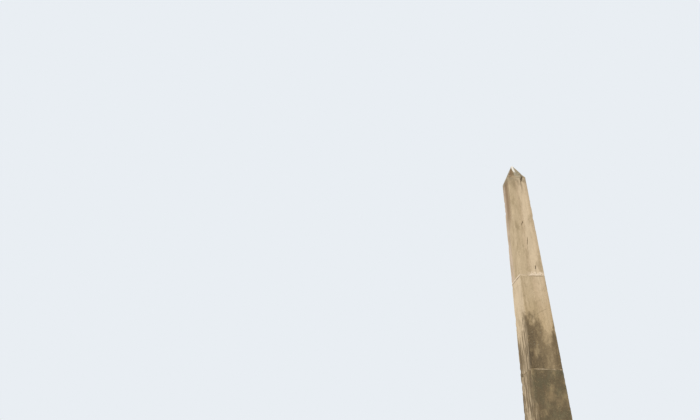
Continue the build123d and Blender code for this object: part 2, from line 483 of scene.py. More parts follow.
def outer_top_edge(node, ring):
    """What tells whether an edge of a stone lies along the outer top edge of its ring of stones."""
    outside = max(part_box(stone)[1].x for stone in ring)
    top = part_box(node)[1].z

    def lies_outside(edge):
        middle = (edge.verts[0].co + edge.verts[1].co) / 2
        reach = max(abs(middle.x), abs(middle.y))
        return abs(middle.z - top) < TINY and abs(reach - outside) < TINY

    return lies_outside


def mitre_outline(node):
    """Half outline of a moulded course, from its foot up, read along its front right mitre."""
    mesh = bmesh.new()
    mesh.from_mesh(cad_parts[node].data)
    bmesh.ops.remove_doubles(mesh, verts=mesh.verts, dist=TINY / 10)
    mitre = {vert for vert in mesh.verts if vert.co.x > 0 and abs(vert.co.x + vert.co.y) < TINY}
    here = min(mitre, key=lambda vert: vert.co.z)
    outline = []
    while here:
        mitre.discard(here)
        outline.append((here.co.x, here.co.z))
        linked = {edge.other_vert(here) for edge in here.link_edges} & mitre
        here = min(linked or mitre, key=lambda vert: (vert.co - here.co).length, default=None)
    mesh.free()
    return outline


def spaced(outline, cell):
    """The same outline with its points about a cell apart, or nearer."""
    points = [outline[0]]
    for start, end in zip(outline, outline[1:]):
        steps = max(1, round(math.dist(start, end) / cell))
        points += [
            tuple(a + (b - a) * step / steps for a, b in zip(start, end))
            for step in range(1, steps + 1)
        ]
    return points


def moulded_block(node):
    """A moulded course, drawn up ring by ring along its outline, as shaft_block gives a stone."""
    cell = bpy.context.scene.obelisk_wear.course_cell
    outline = spaced(mitre_outline(node), cell)
    half, level = outline[0]
    bpy.ops.object.select_all(action="DESELECT")
    bpy.ops.mesh.primitive_plane_add(size=2 * half, location=(0, 0, level))
    bpy.ops.object.transform_apply(location=True, rotation=True, scale=True)
    block = bpy.context.object
    block.name = f"worn_{node}"
    block.data.name = block.name
    bpy.ops.object.mode_set(mode="EDIT")
    bpy.ops.mesh.select_all(action="SELECT")
    for next_half, next_level in outline[1:]:
        bpy.ops.mesh.extrude_region_move(TRANSFORM_OT_translate={"value": (0, 0, next_level - level)})
        growth = next_half / half
        bpy.ops.transform.resize(value=(growth, growth, 1), center_override=(0, 0, next_level))
        half, level = next_half, next_level
    cut_between((outline[0][1], level), cell, axes=(0, 1), shortest=2 * cell)
    return block, round_arrises(bpy.context.scene.obelisk_wear.arris_round / 2)


# Materials.


def add(tree, kind, inputs=None, output=0, **settings):
    """Adds a shader node with its settings, fills or links its inputs, and returns one of its outputs."""
    made = tree.nodes.new("ShaderNode" + kind)
    for name, value in settings.items():
        setattr(made, name, value)
    for name, value in (inputs or {}).items():
        if isinstance(value, bpy.types.NodeSocket):
            tree.links.new(value, made.inputs[name])
        else:
            made.inputs[name].default_value = value
    return made.outputs[output] if len(made.outputs) else None


class Surface:
    """A surface of stone or mortar while its material is drawn. Its tone is what shows on it so far.

    A share is a number from 0 to 1 for each point of it.
    """

    def __init__(self, tree, tones, offset):
        """Patterns are moved by the offset, in metres, so that the stones don't repeat each other."""
        self.tree = tree
        self.tones = tones
        self.tone = None
        self.where = add(tree, "TexCoord", output="Object")
        self.place = add(tree, "Mapping", {"Vector": self.where, "Location": offset})

    def rgba(self, tone):
        """A tone of the palette, as a colour input takes it."""
        return (*getattr(self.tones, tone), 1)

    def film(self, tone, *shares, strength=1.0):
        """Lays a film of one tone, where all its shares say, at most as dense as its strength."""
        dense = shares[0]
        for share in (*shares[1:], strength):
            dense = add(self.tree, "Math", {0: dense, 1: share}, operation="MULTIPLY")
        inputs = {0: dense, 6: self.tone, 7: self.rgba(tone)}
        self.tone = add(self.tree, "Mix", inputs, output=2, data_type="RGBA")

    def cloud(self, grain, stretch, detail, rough):
        """A cloudy pattern of that grain in metres, drawn out downwards by so many times."""
        drawn_out = add(self.tree, "Mapping", {"Vector": self.place, "Scale": (1, 1, 1 / stretch)})
        inputs = {"Vector": drawn_out, "Scale": 1 / grain, "Detail": detail, "Roughness": rough}
        return add(self.tree, "TexNoise", inputs)

    def patches(self, grain, low, high, stretch=1.0, detail=4.0, rough=0.55):
        """Patches of a cloud, as a share: 0 where its brightness is low, 1 where it is high."""
        cloud = self.cloud(grain, stretch, detail, rough)
        return add(
            self.tree, "MapRange", {"Value": cloud, "From Min": low, "From Max": high},
            interpolation_type="SMOOTHSTEP",
        )

    def rosettes(self, spacing, widest):
        """Round growths with frayed rims, each of its own size up to the widest, as a share."""
        frayed = add(
            self.tree, "TexNoise",
            {"Vector": self.place, "Scale": 2 / widest, "Detail": 4.0, "Roughness": 0.7}, output="Color",
        )
        moved = add(
            self.tree, "VectorMath", {0: frayed, 1: (widest,) * 3, 2: self.place}, operation="MULTIPLY_ADD"
        )
        cells = add(self.tree, "TexVoronoi", {"Vector": moved, "Scale": 1 / spacing}).node.outputs
        reach = widest / spacing / 2
        size = add(
            self.tree, "MapRange",
            {"Value": cells["Color"], "From Min": 0.45, "From Max": 0.95, "To Min": -reach, "To Max": 0.0},
        )
        inside = add(self.tree, "Math", {0: cells["Distance"], 1: size}, operation="SUBTRACT")
        return add(self.tree, "MapRange", {"Value": inside, "From Min": reach, "From Max": reach * 0.85})

    def rising(self, start, end):
        """A share that goes from 0 at the height where it starts to 1 at the height where it ends."""
        height = add(self.tree, "SeparateXYZ", {0: self.where}, output="Z")
        return add(
            self.tree, "MapRange", {"Value": height, "From Min": start, "From Max": end},
            interpolation_type="SMOOTHSTEP",
        )

    def turned_up(self, start, end):
        """A share that goes from 0 to 1 as the surface turns up from -1, a soffit, by 0, upright, to 1."""
        normal = add(self.tree, "NewGeometry", output="Normal")
        upward = add(self.tree, "SeparateXYZ", {0: normal}, output="Z")
        return add(
            self.tree, "MapRange", {"Value": upward, "From Min": start, "From Max": end},
            interpolation_type="SMOOTHSTEP",
        )

    def towards_axis(self, start, end):
        """A share that goes from 0 to 1 towards the axis, in square rings of those half widths."""
        absolute = add(self.tree, "VectorMath", {0: self.where}, operation="ABSOLUTE")
        sides = add(self.tree, "SeparateXYZ", {0: absolute}).node.outputs
        ring = add(self.tree, "Math", {0: sides["X"], 1: sides["Y"]}, operation="MAXIMUM")
        return add(self.tree, "MapRange", {"Value": ring, "From Min": start, "From Max": end})

    def strip(self, across, width):
        """An uneven upright strip on the front, so far right of the middle, as a share."""
        here = add(self.tree, "SeparateXYZ", {0: self.where}).node.outputs
        strayed = add(self.tree, "TexNoise", {"Vector": self.place, "Scale": 0.5 / width, "Detail": 4.0})
        aside = add(self.tree, "Math", {0: strayed, 1: width, 2: here["X"]}, operation="MULTIPLY_ADD")
        distance = add(self.tree, "Math", {0: aside, 1: across + width / 2}, operation="SUBTRACT")
        away = add(self.tree, "Math", {0: distance}, operation="ABSOLUTE")
        near = add(self.tree, "MapRange", {"Value": away, "From Min": width * 0.7, "From Max": width * 0.3})
        front = add(self.tree, "MapRange", {"Value": here["Y"], "From Min": 0.0, "From Max": -0.01})
        return add(self.tree, "Math", {0: near, 1: front}, operation="MULTIPLY")

    def around(self, wobble=0.04, upright=4.2):
        """Direction from the axis as a share of a turn, from the back right arris round by the back.

        It strays by up to the wobble, in strips that are so many times taller than wide.
        """
        inputs = {"Vector": self.where, "Angle": math.radians(45)}
        turned = add(self.tree, "VectorRotate", inputs, rotation_type="Z_AXIS")
        across = add(self.tree, "SeparateXYZ", {0: turned}).node.outputs
        forward = add(self.tree, "Math", {0: across["Y"], 1: -1.0}, operation="MULTIPLY")
        angle = add(self.tree, "Math", {0: across["X"], 1: forward}, operation="ARCTAN2")
        start, end = -wobble / 2, 1 - wobble / 2
        turn = add(
            self.tree, "MapRange",
            {"Value": angle, "From Min": -math.pi, "From Max": math.pi, "To Min": start, "To Max": end},
        )
        cloud = self.cloud(0.2, upright, detail=6.0, rough=0.65)
        return add(self.tree, "Math", {0: cloud, 1: wobble, 2: turn}, operation="MULTIPLY_ADD")

    def by_side(self, turn, stops):
        """Tones or shares around the shaft, each with its direction in degrees."""
        ramp = add(self.tree, "ValToRGB", {0: turn})
        elements = ramp.node.color_ramp.elements
        elements.remove(elements[1])
        for number, (degrees, tone) in enumerate(stops):
            position = (degrees - TURN_START) / 360
            element = elements.new(position) if number else elements[0]
            element.position = position
            element.color = self.rgba(tone) if isinstance(tone, str) else (tone, tone, tone, 1)
        return ramp


def make_material(context, name, draw, offset, roughness):
    """A stone or mortar material, made once. draw lays its films and gives its relief, in metres."""
    made = bpy.data.materials.get(name)
    if made:
        return made
    made = bpy.data.materials.new(name)
    made.use_nodes = True
    tree = made.node_tree
    tree.nodes.clear()
    surface = Surface(tree, context.scene.obelisk_colours, offset)
    relief = draw(surface)
    bump = add(tree, "Bump", {"Height": relief, "Distance": 1.0, "Strength": 1.0})
    shader = add(tree, "BsdfPrincipled", {
        "Base Color": surface.tone, "Normal": bump,
        "Roughness": roughness, "IOR": 1.5, "Specular IOR Level": 0.25,
    })
    add(tree, "OutputMaterial", {"Surface": shader})
    return made


def weather(stone, rain=0.5, lichen=1.0, rubbing=0.6, drawn=1.0):
    """What all the stones share: mottling, rain streaks, cleaner arrises, and growth on what faces the sky.

    The mottling is drawn out downwards by so many times.
    """
    mottled = {"stretch": drawn, "detail": 6.0, "rough": 0.65}
    stone.film("drab", stone.patches(0.16, 0.46, 0.66, **mottled), strength=0.42)
    stone.film("sand", stone.patches(0.10, 0.52, 0.70, **mottled), strength=0.45)
    specks = stone.patches(0.035, 0.55, 0.70, stretch=drawn, detail=5.0, rough=0.7)
    stone.film("umber", specks, strength=0.28)
    stone.film("drab", stone.patches(0.05, 0.48, 0.70, stretch=14), strength=rain)
    stone.film("umber", stone.patches(0.03, 0.60, 0.74, stretch=18), strength=rain * 0.8)
    stone.film("sand", stone.patches(0.06, 0.56, 0.76, stretch=10), strength=0.4)
    stone.film("crust", stone.patches(0.007, 0.66, 0.72, detail=1.0), strength=0.5)
    rubbed = add(stone.tree, "Attribute", output="Fac", attribute_name="rubbed")
    stone.film("sand", rubbed, stone.patches(0.05, 0.38, 0.58), strength=rubbing)
    up = stone.turned_up(0.35, 0.8)
    stone.film("umber", up, stone.patches(0.09, 0.34, 0.56, detail=6.0), strength=0.75 * lichen)
    stone.film("lichen", up, stone.rosettes(0.06, 0.06), strength=0.85 * lichen)
    stone.film("ochre", up, stone.rosettes(0.09, 0.04), strength=0.7 * lichen)


def fleck(stone, share):
    """The fine break-up of a thick film: sooty grains, bare specks of stone and small lichens."""
    grains = stone.patches(0.018, 0.50, 0.64, detail=6.0, rough=0.75)
    bare = stone.patches(0.026, 0.56, 0.66, detail=6.0, rough=0.75)
    stone.film("crust", share, grains, strength=0.4)
    stone.film("honey", share, bare, strength=0.5)
    stone.film("lichen", share, stone.rosettes(0.09, 0.035), strength=0.4)


def streak(stone, *shares):
    """Fine upright streaks, where rain draws dirt down a face and washes the stone beside it."""
    dirty = stone.patches(0.06, 0.49, 0.41, stretch=9, detail=3.0)
    washed = stone.patches(0.06, 0.51, 0.58, stretch=9, detail=3.0)
    stone.film("umber", *shares, dirty, strength=0.65)
    stone.film("sand", *shares, washed, strength=0.5)


def smear_lime(stone, level):
    """Lime that was smeared over the arrises when the joint at this level was pointed."""
    above = stone.rising(level + SMEAR_EDGE, level + SMEAR_BODY)
    below = stone.rising(level - SMEAR_EDGE, level - SMEAR_BODY)
    stone.film("lime", below, above, stone.patches(0.10, 0.44, 0.56), strength=0.6)


def stone_relief(stone, tooling=0.0):
    """Relief of limestone: a sandy grain, pits where shells have weathered out, and strokes that deep."""
    sand = add(stone.tree, "TexNoise", {
        "Vector": stone.place, "Scale": 1 / DRAWN_GRAIN, "Detail": 4.0, "Roughness": 0.7,
    })
    height = add(stone.tree, "Math", {0: sand, 1: GRAIN_RELIEF}, operation="MULTIPLY")
    pits = stone.rosettes(0.03, DRAWN_PIT)
    height = add(stone.tree, "Math", {0: pits, 1: -PIT_RELIEF, 2: height}, operation="MULTIPLY_ADD")
    rubbed = stone.patches(0.05, 0.3, 0.7, detail=5.0, rough=0.6)
    height = add(stone.tree, "Math", {0: rubbed, 1: RUBBED_RELIEF, 2: height}, operation="MULTIPLY_ADD")
    if tooling:
        slanted = add(stone.tree, "Mapping", {
            "Vector": stone.place, "Rotation": (0.6, 0.6, 0), "Scale": (1, 1, 0.12),
        })
        strokes = add(stone.tree, "TexNoise", {"Vector": slanted, "Scale": 1 / DRAWN_STROKE, "Detail": 2.0})
        height = add(stone.tree, "Math", {0: strokes, 1: tooling, 2: height}, operation="MULTIPLY_ADD")
    return height


def rubbed_limestone_upper(context):
    """Oolitic limestone, sawn and rubbed: matt and sandy to the eye.

    The stone is buff, with olive algae on the left of its front, and dark at its top.
    """
    low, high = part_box("upper_shaft_stone")
    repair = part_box("upper_joint_repair")[1]

    def draw(stone):
        turn = stone.around()
        stone.tone = stone.by_side(turn, (
            (-210, "buff"), (-180, "olive"), (-146, "sand"), (-134, "rose"), (-112, "rose"), (-98, "olive"),
            (-64, "olive"), (-47, "olive"), (-43, "olive"), (-24, "olive"), (-8, "buff"), (8, "sand"),
            (32, "sand"), (41, "buff"), (45, "olive"), (60, "buff"), (120, "olive"),
        ))
        weather(stone, rain=0.25, rubbing=0.3, drawn=2.6)
        left_run = stone.by_side(turn, (
            (-134, 0), (-120, 0.3), (-104, 1), (-78, 1), (-58, 0.5), (-46, 0), (100, 0), (112, 1), (126, 0),
        ))
        stone.film("russet", left_run, stone.rising(low.z + 1.2, low.z + 2.0), strength=0.72)
        washed = stone.by_side(turn, ((-2, 0), (7, 1), (22, 1), (31, 0)))
        lower_half = (stone.rising(low.z + 0.4, low.z + 0.8), stone.rising(low.z + 2.1, low.z + 1.6))
        stone.film("pale", washed, *lower_half, strength=0.55)
        top = stone.rising(high.z - 0.6, high.z)
        stone.film("umber", top, stone.patches(0.09, 0.30, 0.62, stretch=2.0), strength=0.5)
        topmost = stone.rising(high.z - 0.16, high.z)
        stone.film("ash", topmost, stone.patches(0.06, 0.36, 0.56), strength=0.6)
        hollow = add(stone.tree, "Attribute", output="Fac", attribute_name="hollow")
        for tone, rim, floor, strength in (("umber", 0.0, 0.6, 0.85), ("crust", 0.55, 1.0, 0.6)):
            dirt = add(stone.tree, "MapRange", {"Value": hollow, "From Min": rim, "From Max": floor})
            stone.film(tone, dirt, strength=strength)
        for across, height, width, tall, lean, dark in HOLLOWS:
            foot = height - tall / 2
            run = stone.strip(across - lean * tall / 2, width * 0.6)
            below = (stone.rising(foot - 0.35, foot), stone.rising(height, foot))
            stone.film("umber", run, *below, strength=0.4 * dark)
        smear_lime(stone, low.z)
        smeared = stone.rising(low.z + 0.03, low.z + 0.015)
        stone.film("chalk", stone.by_side(turn, LEFT_FACE), smeared, strength=0.8)
        over_repair = stone.strip(repair.x * 0.42, repair.x * 1.15)
        smeared = stone.rising(repair.z + 0.045, repair.z + 0.015)
        stone.film("chalk", over_repair, smeared, stone.patches(0.05, 0.42, 0.58), strength=0.85)
        return stone_relief(stone)

    return make_material(
        context, "rubbed_limestone_upper", draw, offset=(0.3, 1.1, 0.0), roughness=0.9
    )


def healed_crack(stone):
    """A fine crack across the middle stone's front that has silted up, as a share."""
    across, height, slope = CRACK
    slanted = add(
        stone.tree, "Mapping",
        {"Vector": stone.where, "Location": (across, 0, height), "Rotation": (0, -math.atan(slope), 0)},
        vector_type="TEXTURE",
    )
    along = add(stone.tree, "SeparateXYZ", {0: slanted}).node.outputs
    strayed = add(stone.tree, "TexNoise", {"Vector": stone.place, "Scale": 1 / 0.12, "Detail": 4.0})
    aside = add(stone.tree, "Math", {0: strayed, 1: 0.05, 2: along["Z"]}, operation="MULTIPLY_ADD")
    middle = add(stone.tree, "Math", {0: aside, 1: 0.025}, operation="SUBTRACT")
    distance = add(stone.tree, "Math", {0: middle}, operation="ABSOLUTE")
    fine = add(stone.tree, "MapRange", {"Value": distance, "From Min": 0.006, "From Max": 0.002})
    span = add(stone.tree, "Math", {0: along["X"]}, operation="ABSOLUTE")
    short = add(stone.tree, "MapRange", {"Value": span, "From Min": 0.18, "From Max": 0.12})
    front = add(stone.tree, "MapRange", {"Value": along["Y"], "From Min": 0.0, "From Max": -0.1})
    kept = add(stone.tree, "Math", {0: fine, 1: short}, operation="MULTIPLY")
    return add(stone.tree, "Math", {0: kept, 1: front}, operation="MULTIPLY")


def rubbed_limestone_middle(context):
    """The same rubbed limestone, yellower towards its foot, with a brown stain from its foot that is partly
    damp and partly painted shadow.
    """
    low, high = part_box("middle_shaft_stone")

    def draw(stone):
        turn = stone.around()
        # The left face is pale and spared most of the yellowing below: this is partly painted sunlight on
        # that side.
        stone.tone = stone.by_side(turn, (
            (-215, "buff"), (-180, "olive"), (-140, "sand"), (-124, "pale"), (-80, "pale"), (-47, "pale"),
            (-43, "olive"), (-10, "olive"), (4, "buff"), (30, "sand"), (40, "buff"), (45, "drab"),
            (60, "olive"), (125, "buff"),
        ))
        yellowed = stone.by_side(turn, ((-140, 1), (-128, 0.3), (-52, 0.3), (-44, 1)))
        stone.film("honey", yellowed, stone.rising(low.z + 2.2, low.z + 0.9), strength=0.6)
        weather(stone, rain=0.25, rubbing=0.3, drawn=2.6)
        # How high the stain reaches on each side. The stain is partly damp and partly painted shadow:
        # highest on the left of the front, with a pale gap on its right.
        stain_and_shadow_climb = stone.by_side(turn, (
            (-220, 0.5), (-200, 0.3), (-175, 0.15), (-140, 0.36), (-120, 0.3), (-90, 0.29), (-68, 0.52),
            (-58, 0.60), (-42, 0.64), (-28, 0.60), (-14, 0.50), (0, 0.42), (14, 0.33), (26, 0.22),
            (36, 0.28), (45, 0.44), (64, 0.3), (90, 0.15), (110, 0.1), (130, 0.35),
        ))
        stain_and_shadow_strength = stone.by_side(turn, (
            (-220, 0.9), (-180, 0.6), (-140, 1.0), (-120, 0.65), (-90, 0.4), (-60, 0.85), (-42, 1.0),
            (-14, 0.8), (12, 0.6), (28, 0.7), (38, 1.0), (60, 0.6), (110, 0.6), (130, 0.9),
        ))
        height = stone.rising(low.z, low.z + 2.2)
        ragged = stone.patches(0.14, 0.2, 0.8, stretch=1.8, detail=6.0, rough=0.6)
        reach = add(stone.tree, "Math", {0: ragged, 1: 0.45, 2: stain_and_shadow_climb}, operation="MULTIPLY_ADD")
        below = add(stone.tree, "Math", {0: reach, 1: height}, operation="SUBTRACT")
        damp_and_painted_shadow = add(stone.tree, "MapRange", {"Value": below, "From Min": 0.14, "From Max": 0.36})
        parted = stone.patches(0.12, 0.72, 0.46, stretch=2.5, detail=6.0, rough=0.65)
        stone.film("drab", damp_and_painted_shadow, stain_and_shadow_strength, strength=0.7)
        stone.film("umber", damp_and_painted_shadow, stain_and_shadow_strength, parted, strength=0.85)
        # The darkest part of the stain, which is partly painted shadow, gets a sooty crust.
        deep = add(stone.tree, "MapRange", {"Value": below, "From Min": 0.35, "From Max": 0.85})
        sooty = stone.patches(0.08, 0.35, 0.65, stretch=3.0)
        stone.film("crust", deep, stain_and_shadow_strength, sooty, strength=0.62)
        fleck(stone, damp_and_painted_shadow)
        stone.film("umber", healed_crack(stone), strength=0.6)
        streak(stone, stone.by_side(turn, LEFT_FACE), stone.rising(low.z + 1.3, low.z + 0.7))
        smear_lime(stone, high.z)
        # A dark line just under the top joint, on the left face and the right of the front: painted shade.
        shade_under_joint = stone.by_side(turn, (*LEFT_FACE, (-24, 0), (-14, 0.6), (38, 0.6), (45, 0)))
        topmost = stone.rising(high.z - 0.036, high.z - 0.024)
        stone.film("umber", shade_under_joint, topmost, strength=0.7)
        return stone_relief(stone)

    return make_material(
        context, "rubbed_limestone_middle", draw, offset=(2.7, 0.4, 3.0), roughness=0.9
    )


def rubbed_limestone_lower(context):
    """The same rubbed limestone, darker and greener all round and darkest on its front, partly under a brown
    and green film and partly painted shade, with fine streaks on its left.
    """

    def draw(stone):
        turn = stone.around(wobble=0.09, upright=2.2)
        # The dark umber and crust on the front and at its right arris are partly painted shade. The light
        # and dark bands on the left face are partly painted sun flecks.
        stone.tone = stone.by_side(turn, (
            (-222, "umber"), (-202, "olive"), (-180, "drab"), (-150, "umber"), (-136, "umber"),
            (-127, "drab"), (-118, "sand"), (-110, "olive"), (-102, "buff"), (-92, "sand"), (-82, "drab"),
            (-72, "olive"), (-62, "umber"), (-52, "drab"), (-46, "drab"), (-42, "umber"), (-16, "umber"),
            (4, "drab"), (30, "drab"), (45, "crust"), (72, "drab"), (90, "olive"), (104, "drab"),
            (130, "umber"),
        ))
        weather(stone, rain=0.30, rubbing=0.3, drawn=2.0)
        # Moss, densest on the front: partly moss and partly painted shade.
        moss_and_shade_side = stone.by_side(turn, (
            (-200, 0.7), (-135, 0.25), (-80, 0.3), (-50, 0.5), (-44, 1), (45, 1), (70, 0.7),
        ))
        clumps = stone.patches(0.30, 0.28, 0.54, detail=6.0, rough=0.65)
        stone.film("moss", moss_and_shade_side, clumps, strength=0.85)
        # Dirt over the whole stone, which also darkens it as painted shade.
        dirt = stone.patches(0.10, 0.36, 0.58, stretch=2.0, detail=6.0, rough=0.65)
        stone.film("umber", dirt, strength=0.65)
        spared = stone.patches(0.22, 0.50, 0.72, stretch=1.4, detail=3.0)
        stone.film("honey", spared, strength=0.4)
        streak(stone, stone.by_side(turn, LEFT_FACE))
        fleck(stone, 1.0)
        return stone_relief(stone)

    return make_material(
        context, "rubbed_limestone_lower", draw, offset=(5.2, 2.3, 7.0), roughness=0.92
    )


def rubbed_limestone_pyramidion(context):
    """The same rubbed limestone, grey with soot and lichen, with a white run of guano at its apex."""
    low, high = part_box("pyramidion")
    across, height, width, _, lean, dark = HOLLOWS[0]

    def draw(stone):
        stone.tone = stone.by_side(stone.around(), (
            (-222, "drab"), (-180, "ash"), (-135, "ash"), (-90, "ash"), (-47, "ash"), (-43, "russet"),
            (-20, "drab"), (-4, "ash"), (30, "ash"), (45, "drab"), (90, "olive"), (130, "drab"),
        ))
        stone.film("umber", stone.patches(0.13, 0.44, 0.66, detail=6.0, rough=0.65), strength=0.5)
        lower_part = stone.rising(high.z - 0.36, high.z - 0.5)
        stone.film("buff", lower_part, stone.patches(0.08, 0.34, 0.56), strength=0.5)
        stone.film("crust", stone.patches(0.05, 0.58, 0.70, stretch=2.0), strength=0.45)
        above_hollow = stone.strip(across + lean * (low.z - height), width * 0.8)
        stone.film("crust", above_hollow, stone.rising(low.z + 0.09, low.z + 0.04), strength=0.7 * dark)
        stone.film("lichen", stone.rosettes(0.07, 0.06), strength=0.75)
        stone.film("ochre", stone.rosettes(0.09, 0.04), strength=0.5)
        run = stone.strip(-0.008, 0.052)
        ragged = stone.patches(0.03, 0.30, 0.42, stretch=3.0)
        stone.film("guano", run, ragged, stone.rising(high.z - 0.30, high.z - 0.22))
        drips = stone.patches(0.018, 0.50, 0.60, stretch=8.0)
        stone.film("guano", run, drips, stone.rising(high.z - 0.44, high.z - 0.30))
        return stone_relief(stone)

    return make_material(
        context, "rubbed_limestone_pyramidion", draw, offset=(7.9, 4.0, 1.0), roughness=0.92
    )


def tooled_limestone(context, bed=0):
    """Coarser limestone from one of three beds, tooled: its slanting strokes catch the light.

    Rain has streaked it below its ledges. It is mossy low down and sooty on its soffits.
    """
    shaft_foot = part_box("shaft_base")
    ledges = (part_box("cornice")[0].z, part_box("base_moulding")[0].z)

    def draw(stone):
        ground, other = (("olive", "drab"), ("buff", "drab"), ("honey", "olive"))[bed]
        stone.tone = stone.rgba(ground)
        stone.film(other, stone.patches(0.5, 0.38, 0.66))
        weather(stone)
        for ledge in ledges:
            below = (stone.rising(ledge - 0.75, ledge - 0.05), stone.rising(ledge + 0.02, ledge))
            runs = stone.patches(0.06, 0.42, 0.66, stretch=16, detail=6.0)
            stone.film("umber", *below, runs, strength=0.7)
        stone.film("moss", stone.rising(1.6, 0.3), stone.patches(0.2, 0.36, 0.6), strength=0.7)
        sheltered = stone.rising(shaft_foot[0].z - 0.3, shaft_foot[1].z + 0.05)
        clumps = stone.patches(0.13, 0.30, 0.56, stretch=1.5, detail=6.0)
        stone.film("moss", sheltered, clumps, strength=0.8)
        stone.film("crust", stone.turned_up(-0.25, -0.8), strength=0.5)
        return stone_relief(stone, TOOLED_RELIEF)

    offset = (1.7 + 2.9 * bed, 6.3, 2.0)
    return make_material(context, f"tooled_limestone_{bed + 1}", draw, offset, roughness=0.9)


def trodden_limestone(context, bed=0):
    """Tooled limestone that feet have rubbed pale on its treads, with moss and dirt against the risers."""
    risers = (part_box("upper_step_front")[0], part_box("plinth_front")[0])

    def draw(stone):
        stone.tone = stone.rgba(("olive", "drab")[bed])
        stone.film("buff", stone.patches(0.45, 0.38, 0.62))
        weather(stone, lichen=0.6)
        stone.film("moss", stone.patches(0.16, 0.48, 0.66, detail=6.0), strength=0.65)
        tread = stone.turned_up(0.6, 0.9)
        for riser in risers:
            in_corner = stone.towards_axis(-riser.y + 0.11, -riser.y + 0.01)
            below = stone.rising(riser.z + 0.05, riser.z + 0.02)
            crumbs = stone.patches(0.07, 0.26, 0.56, detail=6.0)
            stone.film("crust", tread, in_corner, below, crumbs, strength=0.85)
        return stone_relief(stone, TRODDEN_RELIEF)

    offset = (3.1 + 1.9 * bed, 0.9, 5.0)
    return make_material(context, f"trodden_limestone_{bed + 1}", draw, offset, roughness=0.88)


def trowelled_lime_mortar(context, age="old"):
    """Lime mortar with sharp sand, pressed in by trowel: chalky, pale when fresh and drab with age."""
    lime, drabness, shift = {
        "fresh": ("chalk", 0.15, 0.0),
        "sound": ("chalk", 0.4, 0.0),
        "old": ("lime", 0.75, 0.0),
        "mossy": ("lime", 1.0, 0.21),
    }[age]

    def draw(mortar):
        mortar.tone = mortar.rgba(lime)
        mortar.film("drab", mortar.patches(0.14, 0.34, 0.58), strength=drabness)
        if age == "mossy":
            mortar.film("umber", mortar.patches(0.10, 0.40, 0.60), strength=0.55)
            sheltered = mortar.by_side(mortar.around(), (
                (-200, 0.7), (-120, 0.5), (-55, 0.6), (-40, 0.4), (-14, 0), (10, 0), (34, 0.5), (60, 0.7),
            ))
            mortar.film("umber", sheltered, strength=0.8)
        mortar.film("umber", mortar.patches(DRAWN_DARK_SAND, 0.62, 0.70, detail=1.0), strength=0.5)
        sand = add(mortar.tree, "TexNoise", {"Vector": mortar.place, "Scale": 1 / DRAWN_SAND, "Detail": 2.0})
        return add(mortar.tree, "Math", {0: sand, 1: SAND_RELIEF}, operation="MULTIPLY")

    return make_material(context, f"{age}_trowelled_lime_mortar", draw, (shift, 0, 0), roughness=0.95)


def laid_lime_rubble(context):
    """Broken stones of a hand's width, laid in lime mortar: drab lumps with pale joints between them."""

    def draw(rubble):
        gaps = add(
            rubble.tree, "TexVoronoi", {"Vector": rubble.place, "Scale": 1 / RUBBLE_STONE},
            feature="DISTANCE_TO_EDGE",
        )
        stones = add(rubble.tree, "MapRange", {"Value": gaps, "From Min": 0.03, "From Max": 0.09})
        rubble.tone = rubble.rgba("lime")
        rubble.film("drab", stones)
        return add(rubble.tree, "Math", {0: stones, 1: RUBBLE_RELIEF}, operation="MULTIPLY")

    return make_material(context, "laid_lime_rubble", draw, offset=(0, 0, 0), roughness=0.93)


# Pieces.


def within_hollow(point):
    """How far a point of the front face lies within the nearest hollow, and how dark that hollow is.

    1 is at the hollow's middle and 0 at its rim. Further out it is less than 0.
    """
    if point.y > 0:
        return -1, 0
    nearest = []
    for across, height, width, tall, lean, dark in HOLLOWS:
        up = point.z - height
        aside = point.x - across - lean * up
        nearest.append((1 - 2 * math.hypot(aside / width, up / tall), dark))
    return max(nearest)


def in_or_near_hollow(face):
    """Tells whether a face of the front lies in a hollow or close round it."""
    return face.normal.y < -0.9 and within_hollow(face.calc_center_median())[0] > -HOLLOW_MARGIN


def sink_hollows(piece):
    """Sinks the dark hollows into the front face, with ragged rims."""
    shares = []
    for vert in piece.data.vertices:
        reach, dark = within_hollow(vert.co)
        ragged = HOLLOW_STEEP * reach + HOLLOW_RAGGED * noise.noise(vert.co / HOLLOW_GRAIN)
        shares.append(dark * min(1, max(0, ragged)))
    weigh(piece, "sunk", shares)
    mark(piece, "hollow", shares)
    sink(piece, HOLLOW_DEPTH, vertex_group="sunk")


class OBELISK_OT_pyramidion(bpy.types.Operator):
    """Cuts the pyramidion, wears it down and gives it its lichen"""

    bl_idname = "obelisk.pyramidion"
    bl_label = "Pyramidion"

    def execute(self, context):
        piece, arrises = shaft_block("pyramidion")
        wear_down(piece, arrises, PYRAMIDION_WEAR)
        set_in_place(piece, "pyramidion", rubbed_limestone_pyramidion(context))
        return {"FINISHED"}


